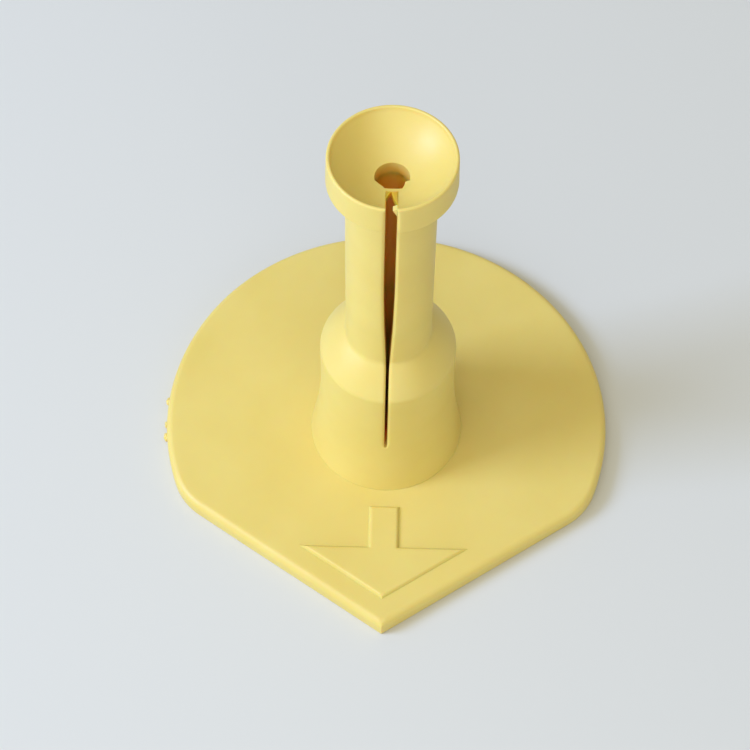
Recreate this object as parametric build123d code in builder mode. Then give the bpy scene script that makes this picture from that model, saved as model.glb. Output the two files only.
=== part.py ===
from build123d import *
import os
from math import cos, hypot, radians, sin, sqrt, tan

# Moulded rubber driving-range tee: a flat pointed plate with a raised arrow, and a slit hollow
# post that carries a golf ball in a shallow cup. Millimetres, +Z up. The origin is on the
# underside, on the axis of the post. The arrow, the point and the slit face -Y.

# ---------------------------------------------------------------- driving dimensions
# plate
PLATE_R = 40.0             # round outline
PLATE_CENTRE_Y = 1.95      # the round outline is centred a little behind the post
PLATE_T = 3.6
FRONT_EDGE_DIST = 34.6     # from the plate's centre to each straight front edge
FRONT_HALF_ANGLE = 56.4    # between the arrow's line and a straight front edge, degrees
CORNER_R = 12.0            # where a straight edge meets the round outline
PLATE_EDGE_R = 1.3         # rounding along the upper edge

# arrow, measured forward from the post's axis
ARROW_H = 0.6
ARROW_TIP = 34.6
ARROW_BARB = 24.7
ARROW_TAIL = 16.8
ARROW_HALF_W = 14.9
ARROW_SHAFT_HALF_W = 2.75

# post, from the plate up
FOOT_R = 13.6
BARREL_R = 11.5
FLARE_TOP_Z = 24.0
CREASE_Z = 31.0
SHOULDER_BULGE = 0.3       # how far the shoulder stands out from a plain cone
TUBE_Z = 36.35
TUBE_LOW_R = 7.15
TUBE_TOP_R = 6.95
TUBE_TOP_Z = 74.6

# cup and bore
CUP_LOW_R = 9.85
CUP_LOW_Z = 76.9
RIM_R = 9.7
RIM_Z = 82.2
RIM_LIP = 0.6              # flat width of the rim
HOLE_R = 2.66
HOLE_Z = 77.3              # where the bowl meets the bore
BORE_FLOOR_Z = 12.0

# slit through the front wall: half width at each height, from the open tube down to its end in the foot
SLIT_TUBE = (0.85, 56.0)
SLIT_ROOT = (0.69, 46.7)
SLIT_SHOULDER = (0.25, 34.6)
SLIT_END = (0.22, 16.0)

# web of rubber that closes the front of the hole and the inner end of the slit in the bowl
WEB_EDGE = (               # its free edge across the hole, seen from above, left to right
    (-2.66, -0.5),
    (-1.3, -1.6),
    (-1.2, -1.9),
    (1.5, -1.9),
    (1.85, -1.1),
    (1.9, -0.6),
    (2.66, -0.4),
)
WEB_NOTCH = ((-0.1, -2.7), (-0.55, -3.4), (-0.85, -4.4))    # left edge of the notch at the slit's end
WEB_END_Y = -6.4           # where the notch's right edge has reached the slit's wall
WEB_ROOT_Y = -2.2          # inside the hole, where the part in the slit starts
WEB_T = 0.9

# flash left by the mould: a pointed nub on the slit's right edge at the rim, in the plane of the rim's
# front, and rounder ones on the plate's left edge
RIM_NUB = ((0.85, 82.1), (0.2, 81.7), (0.85, 80.3))         # x, z
RIM_NUB_Y = (-9.3, -8.5)
EDGE_NUBS = ((176.0, 0.75), (183.0, 0.6), (186.5, 0.8))     # direction in degrees, radius
EDGE_NUB_H = 1.6
EDGE_NUB_Z = 0.6

# flexing places: above each, the post turns about the centre of a ball-shaped division
SWAY_Z = 40.0
BEND_Z = 52.0
BEND_RIM_DROP = 5.8        # from the bend's centre down to the outer edge of its division
FLEX_GAP = 0.15

# ---------------------------------------------------------------- worked out
POINT_Y = PLATE_CENTRE_Y - FRONT_EDGE_DIST / sin(radians(FRONT_HALF_ANGLE))
FAR = 3 * PLATE_R          # beyond the outline in any direction
LIP_R = RIM_R - RIM_LIP
BOWL_Z = (LIP_R**2 + RIM_Z**2 - HOLE_R**2 - HOLE_Z**2) / (2 * (RIM_Z - HOLE_Z))
BOWL_R = hypot(HOLE_R, BOWL_Z - HOLE_Z)


def tube_r(z):
    """Outer radius of the tube, which narrows slightly towards the cup."""
    return TUBE_LOW_R + (TUBE_TOP_R - TUBE_LOW_R) * (z - TUBE_Z) / (TUBE_TOP_Z - TUBE_Z)


SWAY_R = hypot(TUBE_LOW_R, SWAY_Z - TUBE_Z)
BEND_R = hypot(tube_r(BEND_Z - BEND_RIM_DROP), BEND_RIM_DROP)


def on_ball(centre_z, ball_r, r):
    """Point at radius r on the lower half of a ball centred on the post's axis."""
    return (r, centre_z - sqrt(ball_r**2 - r**2))


def wall_meets(centre_z, ball_r):
    """Point where the tube's tapering wall meets the lower half of that ball."""
    r = TUBE_LOW_R
    for _ in range(20):
        r = tube_r(on_ball(centre_z, ball_r, r)[1])
    return on_ball(centre_z, ball_r, r)


def ball_arc(centre_z, ball_r, r_start, r_end):
    """Stretch of that ball's outline between two radii."""
    middle_r = (r_start + r_end) / 2
    return ThreePointArc(*[on_ball(centre_z, ball_r, r) for r in (r_start, middle_r, r_end)])


# ---------------------------------------------------------------- slit blade, a cutting tool
right_side = [(SLIT_TUBE[0], RIM_Z + 1), SLIT_TUBE, SLIT_ROOT, SLIT_SHOULDER, SLIT_END]
left_side = [(-x, z) for x, z in reversed(right_side)]
with BuildPart() as slit_blade:
    with BuildSketch(Plane.XZ):
        with BuildLine():
            Polyline(*right_side, *left_side, close=True)
        make_face()
    extrude(amount=FOOT_R + 1)      # Plane.XZ faces -Y, so the blade runs forward from the axis

# ---------------------------------------------------------------- plate
front_edge = FRONT_EDGE_DIST / tan(radians(FRONT_HALF_ANGLE)) + sqrt(PLATE_R**2 - FRONT_EDGE_DIST**2)
corner_x = front_edge * sin(radians(FRONT_HALF_ANGLE))
corner_y = POINT_Y + front_edge * cos(radians(FRONT_HALF_ANGLE))
with BuildPart() as base_plate:
    with BuildSketch() as plate_outline:
        with BuildLine():
            ThreePointArc((corner_x, corner_y), (0, PLATE_CENTRE_Y + PLATE_R), (-corner_x, corner_y))
            Polyline((-corner_x, corner_y), (0, POINT_Y), (corner_x, corner_y))
        make_face()
        fillet(plate_outline.vertices().sort_by(Axis.Y)[1:3], CORNER_R)
    extrude(amount=PLATE_T)
    fillet(base_plate.edges().group_by(Axis.Z)[-1], PLATE_EDGE_R)

# ---------------------------------------------------------------- raised arrow
with BuildPart() as direction_arrow:
    with BuildSketch(Plane.XY.offset(PLATE_T)):
        with BuildLine():
            Polyline(
                (0, -ARROW_TIP),
                (ARROW_HALF_W, -ARROW_BARB),
                (ARROW_SHAFT_HALF_W, -ARROW_BARB),
                (ARROW_SHAFT_HALF_W, -ARROW_TAIL),
                (-ARROW_SHAFT_HALF_W, -ARROW_TAIL),
                (-ARROW_SHAFT_HALF_W, -ARROW_BARB),
                (-ARROW_HALF_W, -ARROW_BARB),
                close=True,
            )
        make_face()
    extrude(amount=ARROW_H)

# ---------------------------------------------------------------- foot: flares out to the plate
flare_rise = FLARE_TOP_Z - PLATE_T
flare_out = FOOT_R - BARREL_R
flare_r = (flare_rise**2 + flare_out**2) / (2 * flare_out)      # upright where it meets the barrel
with BuildPart() as post_foot:
    with BuildSketch(Plane.XZ):
        with BuildLine():
            RadiusArc((BARREL_R, FLARE_TOP_Z), (FOOT_R, PLATE_T), flare_r)
            Polyline(
                (FOOT_R, PLATE_T),
                (0, PLATE_T),
                (0, BORE_FLOOR_Z),
                (HOLE_R, BORE_FLOOR_Z),
                (HOLE_R, FLARE_TOP_Z),
                (BARREL_R, FLARE_TOP_Z),
            )
        make_face()
    revolve(axis=Axis.Z)
    add(slit_blade.part, mode=Mode.SUBTRACT)

# ---------------------------------------------------------------- barrel: fills the hole in a mat
with BuildPart() as post_barrel:
    with BuildSketch(Plane.XY.offset(FLARE_TOP_Z)):
        Circle(BARREL_R)
        Circle(HOLE_R, mode=Mode.SUBTRACT)
    extrude(amount=CREASE_Z - FLARE_TOP_Z)
    add(slit_blade.part, mode=Mode.SUBTRACT)

# ---------------------------------------------------------------- shoulder: domes in to the tube
slope = hypot(BARREL_R - TUBE_LOW_R, TUBE_Z - CREASE_Z)
shoulder_middle = (
    (BARREL_R + TUBE_LOW_R) / 2 + SHOULDER_BULGE * (TUBE_Z - CREASE_Z) / slope,
    (CREASE_Z + TUBE_Z) / 2 + SHOULDER_BULGE * (BARREL_R - TUBE_LOW_R) / slope,
)
with BuildPart() as post_shoulder:
    with BuildSketch(Plane.XZ):
        with BuildLine():
            ThreePointArc((BARREL_R, CREASE_Z), shoulder_middle, (TUBE_LOW_R, TUBE_Z))
            ball_arc(SWAY_Z, SWAY_R, TUBE_LOW_R, HOLE_R)
            Polyline(on_ball(SWAY_Z, SWAY_R, HOLE_R), (HOLE_R, CREASE_Z), (BARREL_R, CREASE_Z))
        make_face()
    revolve(axis=Axis.Z)
    add(slit_blade.part, mode=Mode.SUBTRACT)

# ---------------------------------------------------------------- lower tube: sways on the shoulder
sway_ball_r = SWAY_R - FLEX_GAP
low_wall = wall_meets(SWAY_Z, sway_ball_r)
socket_wall = wall_meets(BEND_Z, BEND_R)
with BuildPart() as tube_lower:
    with BuildSketch(Plane.XZ):
        with BuildLine():
            ball_arc(SWAY_Z, sway_ball_r, HOLE_R, low_wall[0])
            Line(low_wall, socket_wall)
            ball_arc(BEND_Z, BEND_R, socket_wall[0], HOLE_R)
            Line(on_ball(BEND_Z, BEND_R, HOLE_R), on_ball(SWAY_Z, sway_ball_r, HOLE_R))
        make_face()
    revolve(axis=Axis.Z)
    add(slit_blade.part, mode=Mode.SUBTRACT)

# ---------------------------------------------------------------- upper tube: bends on the lower one
bend_ball_r = BEND_R - FLEX_GAP
bend_wall = wall_meets(BEND_Z, bend_ball_r)
with BuildPart() as tube_upper:
    with BuildSketch(Plane.XZ):
        with BuildLine():
            ball_arc(BEND_Z, bend_ball_r, HOLE_R, bend_wall[0])
            Polyline(
                bend_wall,
                (TUBE_TOP_R, TUBE_TOP_Z),
                (HOLE_R, TUBE_TOP_Z),
                on_ball(BEND_Z, bend_ball_r, HOLE_R),
            )
        make_face()
    revolve(axis=Axis.Z)
    add(slit_blade.part, mode=Mode.SUBTRACT)

# ---------------------------------------------------------------- cup: a drum with a dished top
bowl_middle_r = (LIP_R + HOLE_R) / 2
with BuildPart() as ball_cup:
    with BuildSketch(Plane.XZ):
        with BuildLine():
            Polyline(
                (HOLE_R, HOLE_Z),
                (HOLE_R, TUBE_TOP_Z),
                (TUBE_TOP_R, TUBE_TOP_Z),
                (CUP_LOW_R, CUP_LOW_Z),
                (RIM_R, RIM_Z),
                (LIP_R, RIM_Z),
            )
            ball_arc(BOWL_Z, BOWL_R, LIP_R, HOLE_R)
        make_face()
    revolve(axis=Axis.Z)
    add(slit_blade.part, mode=Mode.SUBTRACT)

# ---------------------------------------------------------------- web at the bottom of the bowl
slit_half_w = SLIT_TUBE[0]
with BuildPart() as hole_web:
    with BuildSketch(Plane.XY.offset(HOLE_Z - 2 * WEB_T)):
        Circle(HOLE_R)
        with BuildLine():
            Polyline(*WEB_EDGE, (HOLE_R, FAR), (-HOLE_R, FAR), close=True)
        make_face(mode=Mode.SUBTRACT)
        with BuildLine():
            Polyline(
                (-slit_half_w, WEB_ROOT_Y),
                WEB_NOTCH[2],
                WEB_NOTCH[1],
                WEB_NOTCH[0],
                (slit_half_w, WEB_END_Y),
                (slit_half_w, WEB_ROOT_Y),
                close=True,
            )
        make_face()
    extrude(amount=RIM_Z - HOLE_Z)
    with Locations((0, 0, BOWL_Z)):
        Sphere(BOWL_R + WEB_T, mode=Mode.INTERSECT)
        Sphere(BOWL_R, mode=Mode.SUBTRACT)

# ---------------------------------------------------------------- flash nub on the slit's right edge
with BuildPart() as rim_nub:
    with BuildSketch(Plane.XZ.offset(-RIM_NUB_Y[1])):
        with BuildLine():
            Polyline(*RIM_NUB, close=True)
        make_face()
    extrude(amount=RIM_NUB_Y[1] - RIM_NUB_Y[0])

# ---------------------------------------------------------------- flash nubs on the plate's left edge
with BuildPart() as edge_nubs:
    with BuildSketch(Plane.XY.offset(EDGE_NUB_Z)):
        for direction, nub_r in EDGE_NUBS:
            nub_x = PLATE_R * cos(radians(direction))
            nub_y = PLATE_CENTRE_Y + PLATE_R * sin(radians(direction))
            with Locations((nub_x, nub_y)):
                Circle(nub_r)
        with Locations((0, PLATE_CENTRE_Y)):
            Circle(PLATE_R, mode=Mode.SUBTRACT)
    extrude(amount=EDGE_NUB_H)

# ---------------------------------------------------------------- one file for each piece
pieces = {
    "base_plate": base_plate,
    "direction_arrow": direction_arrow,
    "edge_nubs": edge_nubs,
    "post_foot": post_foot,
    "post_barrel": post_barrel,
    "post_shoulder": post_shoulder,
    "tube_lower": tube_lower,
    "tube_upper": tube_upper,
    "ball_cup": ball_cup,
    "hole_web": hole_web,
    "rim_nub": rim_nub,
}
os.makedirs("parts", exist_ok=True)
for name, piece in pieces.items():
    piece.part.label = name
    export_step(piece.part, f"parts/{name}.step")
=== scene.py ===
"""Looks of the rubber range tee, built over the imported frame. Metres, +Z up, the front faces -Y."""
import math

import bmesh
import bpy
from mathutils import Matrix, Vector, noise


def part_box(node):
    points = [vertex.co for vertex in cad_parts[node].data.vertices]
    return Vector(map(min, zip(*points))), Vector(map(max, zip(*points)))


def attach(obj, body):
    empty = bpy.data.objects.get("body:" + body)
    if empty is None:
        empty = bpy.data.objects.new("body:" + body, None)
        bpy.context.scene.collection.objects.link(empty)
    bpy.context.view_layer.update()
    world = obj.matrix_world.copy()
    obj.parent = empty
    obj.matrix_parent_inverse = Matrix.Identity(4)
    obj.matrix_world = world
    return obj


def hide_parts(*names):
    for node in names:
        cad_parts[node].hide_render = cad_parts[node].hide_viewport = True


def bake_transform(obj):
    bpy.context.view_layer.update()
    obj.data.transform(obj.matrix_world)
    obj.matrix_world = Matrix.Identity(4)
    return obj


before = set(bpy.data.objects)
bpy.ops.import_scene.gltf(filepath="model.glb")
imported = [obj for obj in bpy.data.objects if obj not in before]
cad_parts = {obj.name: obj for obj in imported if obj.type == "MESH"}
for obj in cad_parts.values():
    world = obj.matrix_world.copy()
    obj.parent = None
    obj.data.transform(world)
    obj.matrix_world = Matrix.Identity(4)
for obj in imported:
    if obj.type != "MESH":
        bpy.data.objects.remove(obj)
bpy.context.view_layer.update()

MM = 0.001

# ---------------------------------------------------------------- sizes, read from the frame
plate_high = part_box("base_plate")[1]
arrow_low, arrow_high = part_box("direction_arrow")
foot_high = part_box("post_foot")[1]
barrel_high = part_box("post_barrel")[1]
shoulder_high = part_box("post_shoulder")[1]
cup_low, cup_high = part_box("ball_cup")

PLATE_R = plate_high.x
PLATE_Y = plate_high.y - PLATE_R           # centre of the plate's round outline
PLATE_TOP = plate_high.z
FOOT_R = foot_high.x
BARREL_R = barrel_high.x
FLARE_TOP = foot_high.z
CREASE = barrel_high.z
TUBE_BOTTOM = shoulder_high.z
TUBE_TOP = cup_low.z
RIM = cup_high.z

# ---------------------------------------------------------------- sizes the boxes don't give
FRONT_EDGE = 34.6 * MM                     # from the plate's centre to each straight front edge
FRONT_HALF_ANGLE = math.radians(56.4)
CORNER_R = 12.0 * MM
POINT_R = 0.25 * MM
PLATE_EDGE_R = 1.3 * MM
PLATE_FOOT_R = 0.35 * MM                   # rounding along the plate's lower edge
TUBE_LOW_R = 7.15 * MM
TUBE_HIGH_R = 6.95 * MM
SHOULDER_BULGE = 0.3 * MM
CREASE_R = 1.8 * MM                        # rounding between barrel and shoulder
ROOT_R = 1.3 * MM                          # hollow rounding between shoulder and tube
CUP_LOW_R = cup_high.x
CUP_LOW = 76.9 * MM
RIM_R = 9.7 * MM
RIM_LIP = 0.6 * MM
HOLE_R = 2.66 * MM
HOLE = 77.3 * MM
BORE_FLOOR = 12.0 * MM
SLIT_END = 16.0 * MM
SLIT = [(SLIT_END, 0.22 * MM), (34.6 * MM, 0.25 * MM), (46.7 * MM, 0.69 * MM), (56.0 * MM, 0.85 * MM)]
SLIT_END_R = 0.22 * MM                     # rounding of the slit's lower end
SLIT_EDGE_R = 0.5 * MM                     # rounding of the slit's outer edges
SLIT_EDGE_RUN = 1.2 * MM                   # height over which that rounding grows from the end
SLIT_INNER_R = 0.2 * MM

# the bowl is part of a sphere, from the mouth of the hole to the inner foot of the rim's round lip
LIP_HALF = RIM_LIP / 2
LIP_R = RIM_R - RIM_LIP
LIP_Z = RIM - LIP_HALF
BOWL_Z = (LIP_R**2 + LIP_Z**2 - HOLE_R**2 - HOLE**2) / (2 * (LIP_Z - HOLE))
BOWL_R = math.hypot(HOLE_R, BOWL_Z - HOLE)

# the post gives sideways about z 40 mm and folds about z 52 mm; the skins meet between the two
SKIN_SPLIT = 44.0 * MM                     # the lower post's skin ends here and the tube's begins

AROUND = 192                               # vertices round a full circle of the post
WALL = 10                                  # columns across the wall in the slit
ROUND = 5                                  # steps in a small rounding


# ---------------------------------------------------------------- material
RUBBER_PALE = (0.795, 0.62, 0.155, 1.0)
RUBBER_WARM = (0.765, 0.58, 0.13, 1.0)
RUBBER_PAINTED_SHADE = (0.85, 0.43, 0.03, 1.0)      # painted shade: brown down the bore and in the slit, where light reaches only through the walls
MOTTLE_SCALE = 70.0                        # noise per metre: slow tone, patchy gloss, moulded grain
GLOSS_SCALE = 260.0
GRAIN_SCALE = 4500.0
GRAIN_HEIGHT = 0.02 * MM


def rubber_material():
    """Cream-yellow moulded rubber: satin, faintly mottled, a little light passes into it."""
    material = bpy.data.materials.new("moulded_rubber")
    material.use_nodes = True
    nodes, links = material.node_tree.nodes, material.node_tree.links
    shader = nodes["Principled BSDF"]
    place = nodes.new("ShaderNodeTexCoord")

    def noise_at(scale, detail):
        node = nodes.new("ShaderNodeTexNoise")
        node.inputs["Scale"].default_value = scale
        node.inputs["Detail"].default_value = detail
        links.new(place.outputs["Object"], node.inputs["Vector"])
        return node.outputs["Fac"]

    def between(fac, low, high):
        node = nodes.new("ShaderNodeMapRange")
        node.inputs["To Min"].default_value = low
        node.inputs["To Max"].default_value = high
        links.new(fac, node.inputs["Value"])
        return node.outputs["Result"]

    tone = nodes.new("ShaderNodeValToRGB")
    tone.color_ramp.elements[0].position = 0.3
    tone.color_ramp.elements[0].color = RUBBER_WARM
    tone.color_ramp.elements[1].position = 0.7
    tone.color_ramp.elements[1].color = RUBBER_PALE
    links.new(noise_at(MOTTLE_SCALE, 3.0), tone.inputs["Fac"])

    # painted shade: the inner attribute mixes in brown down the bore and between the slit's walls
    depth = nodes.new("ShaderNodeAttribute")
    depth.attribute_name = "inner"
    inside = nodes.new("ShaderNodeMix")
    inside.data_type = "RGBA"
    links.new(depth.outputs["Fac"], inside.inputs[0])
    links.new(tone.outputs["Color"], inside.inputs[6])
    inside.inputs[7].default_value = RUBBER_PAINTED_SHADE
    links.new(inside.outputs[2], shader.inputs["Base Color"])

    links.new(between(noise_at(GLOSS_SCALE, 4.0), 0.42, 0.56), shader.inputs["Roughness"])
    bump = nodes.new("ShaderNodeBump")
    bump.inputs["Strength"].default_value = 0.25
    bump.inputs["Distance"].default_value = GRAIN_HEIGHT
    links.new(noise_at(GRAIN_SCALE, 2.0), bump.inputs["Height"])
    links.new(bump.outputs["Normal"], shader.inputs["Normal"])

    # light passes further into the walls down the bore and in the slit, so that they glow brown; the brown
    # there is partly painted shade
    links.new(between(depth.outputs["Fac"], 0.8 * MM, 3.5 * MM), shader.inputs["Subsurface Scale"])
    links.new(between(depth.outputs["Fac"], 0.4, 1.0), shader.inputs["Subsurface Weight"])
    shader.inputs["Subsurface Radius"].default_value = (1.0, 0.5, 0.15)
    shader.inputs["Specular IOR Level"].default_value = 0.5
    return material


rubber = rubber_material()


# ---------------------------------------------------------------- mesh helpers
UNEVEN_SCALE = 45.0                        # waves per metre of the moulding's unevenness
UNEVEN_HEIGHT = 0.05 * MM
WELD = 0.002 * MM
DEPTH_TO_BROWN = 2.6 * MM                  # depth below the surface at which the painted shade is fully brown
DEPTH_STILL_PALE = 0.3 * MM
NOISE_SEED = 1
noise.seed_set(NOISE_SEED)                 # noise_vector is otherwise seeded from the clock


def soften(p):
    """Small slow unevenness of moulded rubber: the same for every piece at the same place."""
    slow = noise.noise_vector(p * UNEVEN_SCALE)
    return p + Vector((slow.x, slow.y, slow.z * 0.5)) * UNEVEN_HEIGHT


def shade_depth(mesh):
    """Attribute inner, the mask of the painted brown shade: 0 on the outside, rising to 1 down the bore and
    between the slit's walls.
    """
    inner = mesh.attributes.new("inner", "FLOAT", "POINT")
    for vertex, value in zip(mesh.vertices, inner.data):
        x, y, z = vertex.co
        r = math.hypot(x, y)
        in_slit = y < 0 and abs(x) < slit_half(z) + 0.1 * MM and HOLE_R < r
        in_bore = r < HOLE_R + 0.25 * MM
        depth = outer_radius(z) - r if in_slit else (HOLE - z if in_bore else 0.0)
        value.value = min(max((depth - DEPTH_STILL_PALE) / DEPTH_TO_BROWN, 0.0), 1.0)


def make_piece(name, shell, sharp_angle=40.0):
    """Mesh object of a shell, welded, smooth but for edges sharper than sharp_angle."""
    mesh = bpy.data.meshes.new(name)
    mesh.from_pydata([tuple(p) for p in shell.points], [], shell.faces)
    obj = bpy.data.objects.new(name, mesh)
    bpy.context.scene.collection.objects.link(obj)
    bm = bmesh.new()
    bm.from_mesh(mesh)
    bmesh.ops.remove_doubles(bm, verts=bm.verts, dist=WELD)
    bmesh.ops.dissolve_degenerate(bm, edges=bm.edges, dist=WELD)
    bmesh.ops.triangulate(bm, faces=[f for f in bm.faces if len(f.verts) > 4])
    bmesh.ops.recalc_face_normals(bm, faces=bm.faces)
    bm.to_mesh(mesh)
    bm.free()
    shade_depth(mesh)
    for vertex in mesh.vertices:
        vertex.co = soften(vertex.co)
    mesh.shade_smooth()
    mesh.set_sharp_from_angle(angle=math.radians(sharp_angle))
    mesh.materials.append(rubber)
    return obj


class Shell:
    """Collects grids of points and their quads."""

    def __init__(self):
        self.points = []
        self.faces = []

    def grid(self, rows):
        """Adds a surface through rows that all have the same number of points."""
        start = len(self.points)
        width = len(rows[0])
        for row in rows:
            self.points.extend(row)
        for i in range(len(rows) - 1):
            for j in range(width - 1):
                a = start + i * width + j
                self.faces.append((a, a + 1, a + width + 1, a + width))

    def face(self, loop):
        """Adds one flat face."""
        start = len(self.points)
        self.points.extend(loop)
        self.faces.append(tuple(range(start, start + len(loop))))


def mix(a, b, t):
    return a + (b - a) * t


def ramp(start, end, steps):
    return [mix(start, end, i / steps) for i in range(steps + 1)]


def arc_points(centre, radius, start, end, steps):
    """Points (r, z) on an arc in the post's half plane, angles in degrees from the +r axis."""
    out = []
    for a in ramp(math.radians(start), math.radians(end), steps):
        out.append((centre[0] + radius * math.cos(a), centre[1] + radius * math.sin(a)))
    return out


# ---------------------------------------------------------------- slit
def slit_half(z):
    """Half the slit's width at height z."""
    if z <= SLIT_END:
        return 0.0
    left = max(1 - (z - SLIT_END) / SLIT_END_R, 0.0)
    end = math.sqrt(1 - left * left)
    for (z0, w0), (z1, w1) in zip(SLIT, SLIT[1:]):
        if z <= z1:
            return end * mix(w0, w1, (z - z0) / (z1 - z0))
    return SLIT[-1][1]


def on_circle(r, x):
    """Point of the front half of a circle of radius r at that x."""
    return -math.sqrt(max(r * r - x * x, 0.0))


def wall_row(outer, inner, side):
    """Slit wall at one level, from the post's outer surface in to the bore, with rounded edges.
    outer and inner are (r, z); side is 1 on the right and -1 on the left."""
    h = slit_half((outer[1] + inner[1]) / 2)
    grow = math.sin(math.pi / 2 * min(max((outer[1] - SLIT_END) / SLIT_EDGE_RUN, 0.0), 1.0))
    edge, lip = SLIT_EDGE_R * grow, SLIT_INNER_R * grow
    thick = outer[0] - inner[0]
    edge, lip = min(edge, thick * 0.45), min(lip, thick * 0.3)
    y_out, y_in = on_circle(outer[0], h + edge), on_circle(inner[0], h + lip)
    plan = []
    for a in ramp(0.0, math.pi / 2, ROUND):
        plan.append((h + edge * (1 - math.sin(a)), y_out + edge * (1 - math.cos(a))))
    for a in ramp(0.0, math.pi / 2, WALL)[1:-1]:
        plan.append((h, mix(y_out + edge, y_in - lip, a / (math.pi / 2))))
    for a in ramp(0.0, math.pi / 2, ROUND):
        plan.append((h + lip * (1 - math.cos(a)), y_in - lip * (1 - math.sin(a))))
    span = plan[-1][1] - plan[0][1]
    row = []
    for x, y in plan:
        t = (y - plan[0][1]) / span if span > 1e-9 else 0.0
        row.append(Vector((side * x, y, mix(outer[1], inner[1], t))))
    return row


def ring_row(r, z, first, last):
    """Points round the post from the slit's right edge, by the back, to its left edge."""
    start = math.atan2(first.y, first.x)
    end = math.atan2(last.y, last.x)
    if end <= start:
        end += 2 * math.pi
    return [Vector((r * math.cos(a), r * math.sin(a), z)) for a in ramp(start, end, AROUND)]


def full_ring(r, z):
    start = -math.pi / 2
    return [Vector((r * math.cos(a), r * math.sin(a), z)) for a in ramp(start, start + 2 * math.pi, AROUND)]


def slit_body(shell, levels, cap_first, cap_last):
    """Adds a wall that is open along the slit. Each level is (outer (r, z), inner (r, z))."""
    outside, inside, right, left = [], [], [], []
    for outer, inner in levels:
        right.append(wall_row(outer, inner, 1))
        left.append(wall_row(outer, inner, -1))
        outside.append(ring_row(outer[0], outer[1], right[-1][0], left[-1][0]))
        inside.append(ring_row(inner[0], inner[1], right[-1][-1], left[-1][-1]))
    for rows in (outside, inside, right, left):
        shell.grid(rows)
    for i, wanted in ((0, cap_first), (-1, cap_last)):
        if wanted:
            loop = outside[i] + left[i][1:] + inside[i][-2::-1] + right[i][-2:0:-1]
            shell.face(loop)


# ---------------------------------------------------------------- outline of the post
FLARE_RISE = FLARE_TOP - PLATE_TOP
FLARE_R = (FLARE_RISE**2 + (FOOT_R - BARREL_R) ** 2) / (2 * (FOOT_R - BARREL_R))
FOOT_SINK = 0.3 * MM                       # how far the foot reaches into the plate


def tube_radius(z):
    """The tube narrows slightly towards the cup."""
    return mix(TUBE_LOW_R, TUBE_HIGH_R, (z - TUBE_BOTTOM) / (TUBE_TOP - TUBE_BOTTOM))


def foot_radius(z):
    """The flare: an arc that stands upright where it meets the barrel."""
    drop = max(FLARE_TOP - z, 0.0)
    return BARREL_R + FLARE_R - math.sqrt(FLARE_R**2 - drop**2)


def shoulder_outline():
    """Points (r, z) from the barrel up over the rounded crease and the dome, and half way round the
    hollow rounding at the root of the tube. Also gives the rest of that rounding."""
    rise, run = TUBE_BOTTOM - CREASE, BARREL_R - TUBE_LOW_R
    chord = math.hypot(rise, run)
    dome_r = (chord**2 / 4 + SHOULDER_BULGE**2) / (2 * SHOULDER_BULGE)
    to_centre = dome_r - SHOULDER_BULGE
    centre = (
        (BARREL_R + TUBE_LOW_R) / 2 - to_centre * rise / chord,
        (CREASE + TUBE_BOTTOM) / 2 - to_centre * run / chord,
    )
    # the crease is rounded by an arc that touches the barrel's wall and the dome from inside
    x = BARREL_R - CREASE_R
    z = centre[1] + math.sqrt((dome_r - CREASE_R) ** 2 - (x - centre[0]) ** 2)
    start = math.degrees(math.atan2(z - centre[1], x - centre[0]))
    corner = arc_points((x, z), CREASE_R, 0.0, start, 2 * ROUND)
    # the root is rounded by an arc that touches the dome from outside and the tube's wall
    x = TUBE_LOW_R + ROOT_R
    z = centre[1] + math.sqrt((dome_r + ROOT_R) ** 2 - (x - centre[0]) ** 2)
    end = math.degrees(math.atan2(z - centre[1], x - centre[0]))
    dome = arc_points(centre, dome_r, start, end, 18)
    root = arc_points((x, z), ROOT_R, 180.0 + end, 180.0, 2 * ROUND)
    return corner + dome[1:] + root[1 : ROUND + 1], root[ROUND:]


def outer_radius(z):
    """Outer radius of the post at height z."""
    if z < FLARE_TOP:
        return foot_radius(z)
    if z < post_shoulder[0][1]:
        return BARREL_R
    for (r0, z0), (r1, z1) in zip(post_shoulder, post_shoulder[1:]):
        if z <= z1:
            return mix(r0, r1, (z - z0) / (z1 - z0))
    if z < TUBE_TOP:
        return tube_radius(z)
    return RIM_R


post_shoulder, tube_root = shoulder_outline()


# ---------------------------------------------------------------- plate
def plate_outline(inset, z):
    """The plate's outline, drawn in by inset, as a closed row of points at height z."""
    radius, edge = PLATE_R - inset, FRONT_EDGE - inset
    corner_r, point_r = CORNER_R - inset, max(POINT_R - inset, 0.0)
    # directions are measured from the arrow's line, -Y; the straight edge faces edge_at
    edge_at = math.pi / 2 - FRONT_HALF_ANGLE
    corner_turn = math.acos((edge - corner_r) / (radius - corner_r))
    corner_at = edge_at + corner_turn
    corner_centre = (radius - corner_r) * math.sin(corner_at), (radius - corner_r) * math.cos(corner_at)
    point_centre = 0.0, (edge - point_r) / math.cos(edge_at)
    side = []
    for a in ramp(0.0, edge_at, 8):
        side.append((point_centre[0] + point_r * math.sin(a), point_centre[1] + point_r * math.cos(a)))
    straight_start = side[-1]
    straight_end = (
        corner_centre[0] + corner_r * math.sin(edge_at),
        corner_centre[1] + corner_r * math.cos(edge_at),
    )
    for t in ramp(0.0, 1.0, 40)[1:-1]:
        side.append((mix(straight_start[0], straight_end[0], t), mix(straight_start[1], straight_end[1], t)))
    for a in ramp(edge_at, corner_at, 12):
        side.append((corner_centre[0] + corner_r * math.sin(a), corner_centre[1] + corner_r * math.cos(a)))
    for a in ramp(corner_at, math.pi, 110)[1:]:
        side.append((radius * math.sin(a), radius * math.cos(a)))
    right = [Vector((x, PLATE_Y - y, z)) for x, y in side]
    left = [Vector((-x, PLATE_Y - y, z)) for x, y in reversed(side[:-1])]
    return right + left


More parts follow.
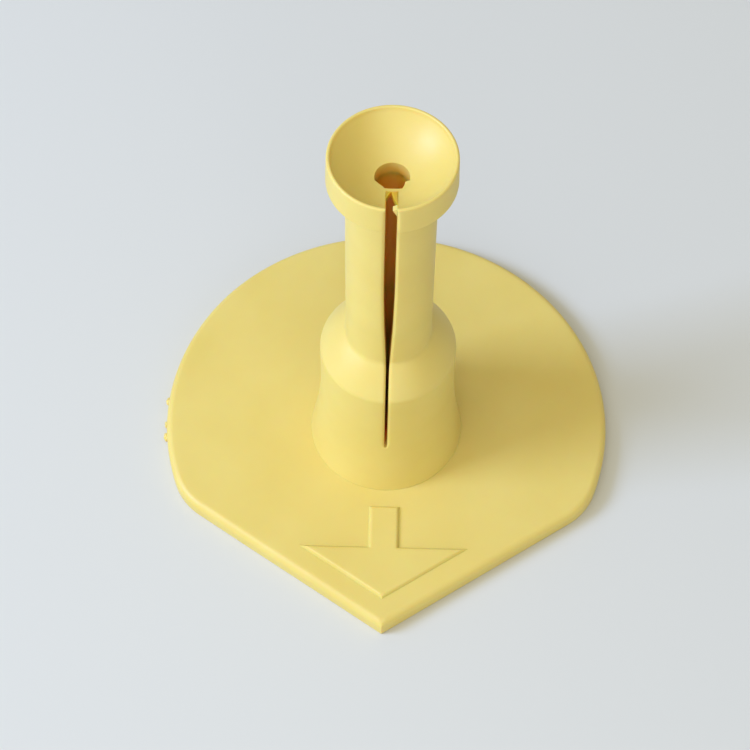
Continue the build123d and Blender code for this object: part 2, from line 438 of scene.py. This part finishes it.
def build_plate():
    shell = Shell()
    rows = []
    for a in ramp(0.0, math.pi / 2, ROUND):
        inset, z = PLATE_FOOT_R * (1 - math.sin(a)), PLATE_FOOT_R * (1 - math.cos(a))
        rows.append(plate_outline(inset, z))
    for a in ramp(0.0, math.pi / 2, 2 * ROUND):
        inset = PLATE_EDGE_R * (1 - math.cos(a))
        rows.append(plate_outline(inset, PLATE_TOP - PLATE_EDGE_R * (1 - math.sin(a))))
    top, bottom = rows[-1], rows[0]
    rings = 34
    for k in range(1, rings):
        share = 1 - k / rings
        rows.append([Vector((p.x * share, mix(PLATE_Y, p.y, share), PLATE_TOP)) for p in top])
    under = []
    for k in range(rings - 1, 0, -1):
        share = 1 - k / rings
        under.append([Vector((p.x * share, mix(PLATE_Y, p.y, share), 0.0)) for p in bottom])
    shell.grid(under + rows)
    shell.face(rows[-1][:-1])
    shell.face(under[0][:-1])
    return make_piece("base_plate_skin", shell)


plate = build_plate()
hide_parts("base_plate")
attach(plate, "base")


# ---------------------------------------------------------------- arrow
ARROW_TIP, ARROW_TAIL = arrow_low.y, arrow_high.y
ARROW_BARB = -24.7 * MM
ARROW_HALF_W = arrow_high.x
ARROW_SHAFT_HALF_W = 2.75 * MM
ARROW_STEPS = 24                           # points along each side, so that the sides can waver
# how far in and how high each row of the arrow's drafted, rounded side stands
ARROW_SIDE = ((0.0, -0.10), (0.04, 0.0), (0.26, 0.34), (0.34, 0.46), (0.46, 0.55), (0.62, 0.6), (0.9, 0.6))


def inset_polygon(corners, inset):
    """Corners of a clockwise polygon with every side moved in by inset."""
    out = []
    for i, here in enumerate(corners):
        before = (here - corners[i - 1]).normalized()
        after = (corners[(i + 1) % len(corners)] - here).normalized()
        normal = Vector((before.y, -before.x)) + Vector((after.y, -after.x))
        out.append(here + normal * (inset / (1 + before.dot(after))))
    return out


def build_arrow():
    half, shaft = ARROW_HALF_W, ARROW_SHAFT_HALF_W
    right = [(half, ARROW_BARB), (shaft, ARROW_BARB), (shaft, ARROW_TAIL)]
    left = [(-x, y) for x, y in reversed(right)]
    corners = [Vector(p) for p in reversed([(0.0, ARROW_TIP)] + right + left)]
    shell = Shell()
    rows = []
    for inset, height in ARROW_SIDE:
        ring = inset_polygon(corners, inset * MM)
        row = []
        for a, b in zip(ring, ring[1:] + ring[:1]):
            row += [a.lerp(b, i / ARROW_STEPS) for i in range(ARROW_STEPS)]
        row.append(row[0])
        rows.append([Vector((p.x, p.y, PLATE_TOP + height * MM)) for p in row])
    shell.grid(rows)
    shell.face(rows[-1][:-1])
    shell.face(rows[0][:-1])
    return make_piece("direction_arrow_skin", shell)


arrow = build_arrow()
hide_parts("direction_arrow")
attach(arrow, "base")


# ---------------------------------------------------------------- flash on the plate's left edge
EDGE_NUBS = ((176.0, 0.75 * MM), (183.0, 0.6 * MM), (186.5, 0.8 * MM))    # direction, radius
EDGE_NUB_Z = 1.4 * MM
EDGE_NUB_HALF_H = 0.8 * MM
NUB_ROUGHNESS = 0.28


def lump(shell, centre, size, seed):
    """A small rough blob of flash."""
    rows = []
    for polar in ramp(0.0, math.pi, 14):
        row = []
        for a in ramp(0.0, 2 * math.pi, 24):
            way = Vector((math.sin(polar) * math.cos(a), math.sin(polar) * math.sin(a), math.cos(polar)))
            rough = 1 + NUB_ROUGHNESS * noise.noise(way * 1.7 + Vector((seed, 0, 0)))
            row.append(centre + Vector((way.x * size.x, way.y * size.y, way.z * size.z)) * rough)
        rows.append(row)
    shell.grid(rows)


def build_edge_nubs():
    shell = Shell()
    for number, (direction, radius) in enumerate(EDGE_NUBS):
        at = math.radians(direction)
        out = PLATE_R + 0.05 * MM
        centre = Vector((out * math.cos(at), PLATE_Y + out * math.sin(at), EDGE_NUB_Z))
        lump(shell, centre, Vector((radius * 0.8, radius, EDGE_NUB_HALF_H)), 3.0 * number)
    return make_piece("edge_nubs_skin", shell)


edge_nubs = build_edge_nubs()
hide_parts("edge_nubs")
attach(edge_nubs, "base")


# ---------------------------------------------------------------- lower post
def build_lower_post():
    shell = Shell()
    outer_low = ramp(PLATE_TOP - FOOT_SINK, SLIT_END, 24)
    shell.grid([full_ring(foot_radius(z), z) for z in outer_low])
    shell.face(full_ring(foot_radius(outer_low[0]), outer_low[0])[:-1])
    shell.grid([full_ring(HOLE_R, z) for z in ramp(BORE_FLOOR, SLIT_END, 6)])
    shell.face(full_ring(HOLE_R, BORE_FLOOR)[:-1])
    heights = [SLIT_END + SLIT_END_R * (1 - math.cos(a)) for a in ramp(0.0, math.pi / 2, 8)]
    heights += ramp(heights[-1], SLIT_END + SLIT_EDGE_RUN, 6)[1:]
    heights += ramp(heights[-1], post_shoulder[0][1], 40)[1:]
    outline = [(outer_radius(z), z) for z in heights[:-1]] + post_shoulder + tube_root[1:]
    outline += [(tube_radius(z), z) for z in ramp(tube_root[-1][1], SKIN_SPLIT, 24)[1:]]
    slit_body(shell, [((r, z), (HOLE_R, z)) for r, z in outline], False, True)
    return make_piece("lower_post_skin", shell)


lower_post = build_lower_post()
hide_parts("post_foot", "post_barrel", "post_shoulder")
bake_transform(lower_post)


# ---------------------------------------------------------------- tube
def build_tube():
    shell = Shell()
    outline = [(tube_radius(z), z) for z in ramp(SKIN_SPLIT, TUBE_TOP, 90)]
    slit_body(shell, [((r, z), (HOLE_R, z)) for r, z in outline], True, True)
    return make_piece("tube_skin", shell)


tube = build_tube()
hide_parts("tube_lower", "tube_upper")
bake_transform(tube)


# ---------------------------------------------------------------- cup
CUP_CORNER_R = 0.25 * MM                   # rounding where the cup's cone meets its wall
CUP_CORNER_UP = 0.22 * MM


def cup_outlines():
    """Outer and inner outlines of the cup, from the tube up to the middle of the rim's lip."""
    outer = [(TUBE_HIGH_R, TUBE_TOP)]
    flare = [(mix(TUBE_HIGH_R, CUP_LOW_R, t), mix(TUBE_TOP, CUP_LOW, t)) for t in ramp(0.0, 0.93, 10)[1:]]
    outer += flare
    outer += arc_points((CUP_LOW_R - CUP_CORNER_R, CUP_LOW + CUP_CORNER_UP), CUP_CORNER_R, -40.0, 0.0, 4)
    for t in ramp(0.0, 1.0, 16)[1:]:
        outer.append((mix(CUP_LOW_R, RIM_R, t), mix(CUP_LOW + CUP_CORNER_UP, LIP_Z, t)))
    outer += arc_points((RIM_R - LIP_HALF, LIP_Z), LIP_HALF, 0.0, 90.0, 6)[1:]
    inner = [(HOLE_R, z) for z in ramp(TUBE_TOP, HOLE, 6)]
    count = len(outer) - len(inner) - 6
    for r in ramp(HOLE_R, LIP_R, count)[1:]:
        inner.append((r, BOWL_Z - math.sqrt(BOWL_R**2 - r**2)))
    inner += arc_points((RIM_R - LIP_HALF, LIP_Z), LIP_HALF, 180.0, 90.0, 6)[1:]
    return list(zip(outer, inner))


def build_cup():
    shell = Shell()
    slit_body(shell, cup_outlines(), True, False)
    return make_piece("cup_skin", shell)


cup = build_cup()
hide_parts("ball_cup")
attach(cup, "upper_post")


# ---------------------------------------------------------------- web across the hole
WEB_LAP = 0.35 * MM                        # how far the web's skin runs out over the bowl
WEB_PROUD = 0.03 * MM
WEB_T = 0.9 * MM
WEB_ROUND = 0.2 * MM
WEB_EDGE = ((-2.95, -0.45), (-2.66, -0.5), (-1.3, -1.6), (-1.2, -1.9), (1.5, -1.9), (1.85, -1.1),
            (1.9, -0.6), (2.66, -0.4), (2.95, -0.35))
WEB_NOTCH = ((-0.9, -4.5), (-0.8, -4.3), (-0.55, -3.4), (-0.1, -2.7), (0.8, -6.2), (0.9, -6.4))


def along(corners, x):
    """y at x on the open line through corners, in millimetres."""
    for (x0, y0), (x1, y1) in zip(corners, corners[1:]):
        if x <= x1:
            return mix(y0, y1, (x - x0) / (x1 - x0))
    return corners[-1][1]


def web_end(x):
    """Front border of the web at x: round the hole, and along the notch in the slit."""
    reach = HOLE_R + WEB_LAP
    border = -math.sqrt(max(reach**2 - x * x, 0.0)) / MM
    if x < WEB_NOTCH[0][0] * MM:
        share = min((WEB_NOTCH[0][0] * MM - x) / WEB_LAP, 1.0)
        return mix(WEB_NOTCH[0][1], border, share)
    if x > WEB_NOTCH[-1][0] * MM:
        share = min((x - WEB_NOTCH[-1][0] * MM) / WEB_LAP, 1.0)
        return mix(WEB_NOTCH[-1][1], border, share)
    return along(WEB_NOTCH, x / MM)


def build_web():
    """A skin of rubber that follows the bowl, thin at its border and rounded at its free edges."""
    columns, rows = 132, 22
    reach = HOLE_R + WEB_LAP * 0.8
    top, under = [], []
    for x in ramp(-reach, reach, columns):
        start, end = along(WEB_EDGE, x / MM) * MM, web_end(x) * MM
        end = min(end, start - 0.02 * MM)
        upper, lower = [], []
        for k in range(rows + 1):
            t = (1 - math.cos(math.pi * k / rows)) / 2
            y = mix(start, end, t)
            r = math.hypot(x, y)
            bowl = BOWL_Z - math.sqrt(BOWL_R**2 - r * r)
            in_slit = abs(x) < slit_half(HOLE) and y < 0
            over_bowl = 0.0 if in_slit else max(r - HOLE_R, 0.0) / WEB_LAP
            edge = min(min(y - end, start - y) / WEB_ROUND, 1.0)
            drop = WEB_ROUND * (1 - math.sqrt(max(1 - (1 - edge) ** 2, 0.0))) * (1 - min(over_bowl, 1.0))
            z = bowl + WEB_PROUD * (1 - 2 * min(over_bowl, 1.0)) - drop
            upper.append(Vector((x, y, z)))
            lower.append(Vector((x, y, bowl - WEB_T)))
        top.append(upper)
        under.append(lower)
    shell = Shell()
    shell.grid(top)
    shell.grid(under)
    shell.grid([[row[0] for row in top], [row[0] for row in under]])
    shell.grid([[row[-1] for row in top], [row[-1] for row in under]])
    shell.grid([top[0], under[0]])
    shell.grid([top[-1], under[-1]])
    return make_piece("hole_web_skin", shell)


web = build_web()
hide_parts("hole_web")
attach(web, "upper_post")


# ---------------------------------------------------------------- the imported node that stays
rim_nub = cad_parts["rim_nub"]
rim_nub.data.materials.clear()
rim_nub.data.materials.append(rubber)


# ---------------------------------------------------------------- floor, lights and camera
floor_mesh = bpy.data.meshes.new("floor")
FLOOR_HALF = 6.0
floor_corners = [(-1, -1), (1, -1), (1, 1), (-1, 1)]
floor_points = [(x * FLOOR_HALF, y * FLOOR_HALF, -0.02 * MM) for x, y in floor_corners]
floor_mesh.from_pydata(floor_points, [], [(0, 1, 2, 3)])
floor = bpy.data.objects.new("floor", floor_mesh)
bpy.context.scene.collection.objects.link(floor)
floor_paint = bpy.data.materials.new("floor_paint")
floor_paint.use_nodes = True
floor_shader = floor_paint.node_tree.nodes["Principled BSDF"]
floor_shader.inputs["Base Color"].default_value = (0.68, 0.66, 0.55, 1.0)
floor_shader.inputs["Roughness"].default_value = 1.0
floor_shader.inputs["Specular IOR Level"].default_value = 0.0
floor_mesh.materials.append(floor_paint)


def area_light(name, place, aim, size, watts, colour):
    data = bpy.data.lights.new(name, "AREA")
    data.size = size
    data.energy = watts
    data.color = colour
    lamp = bpy.data.objects.new(name, data)
    bpy.context.scene.collection.objects.link(lamp)
    lamp.location = place
    lamp.rotation_euler = (Vector(aim) - Vector(place)).to_track_quat("-Z", "Y").to_euler()


area_light("key", (-1.0, -0.2, 0.74), (0, 0, 0.02), 0.44, 9.6, (0.74, 0.98, 1.75))
area_light("top", (-0.25, -0.3, 0.8), (0, 0, 0.02), 0.9, 3.2, (1.0, 1.0, 1.0))
area_light("front", (0.1, -0.8, 0.2), (0, 0, 0.03), 0.5, 1.4, (0.9, 1.0, 1.25))

world = bpy.data.worlds.new("studio")
bpy.context.scene.world = world
world.use_nodes = True
world.node_tree.nodes["Background"].inputs["Color"].default_value = (1.0, 0.99, 0.94, 1.0)
world.node_tree.nodes["Background"].inputs["Strength"].default_value = 0.44
bpy.context.scene.view_settings.view_transform = "Standard"

CAMERA_AT = Vector((0.0, -160.27, 288.71)) * MM
CAMERA_AIM = Vector((-2.08, -5.54, 30.0)) * MM
CAMERA_ROLL = math.radians(0.74)
LENS = 86.4
camera_data = bpy.data.cameras.new("camera")
camera_data.lens = LENS
camera_data.sensor_width = 36.0
camera = bpy.data.objects.new("camera", camera_data)
bpy.context.scene.collection.objects.link(camera)
ahead = (CAMERA_AIM - CAMERA_AT).normalized()
level = ahead.cross(Vector((0, 0, 1))).normalized()
right = Matrix.Rotation(CAMERA_ROLL, 3, -ahead) @ level
up = right.cross(ahead)
camera.matrix_world = Matrix.Translation(CAMERA_AT) @ Matrix((right, up, -ahead)).transposed().to_4x4()
bpy.context.scene.camera = camera
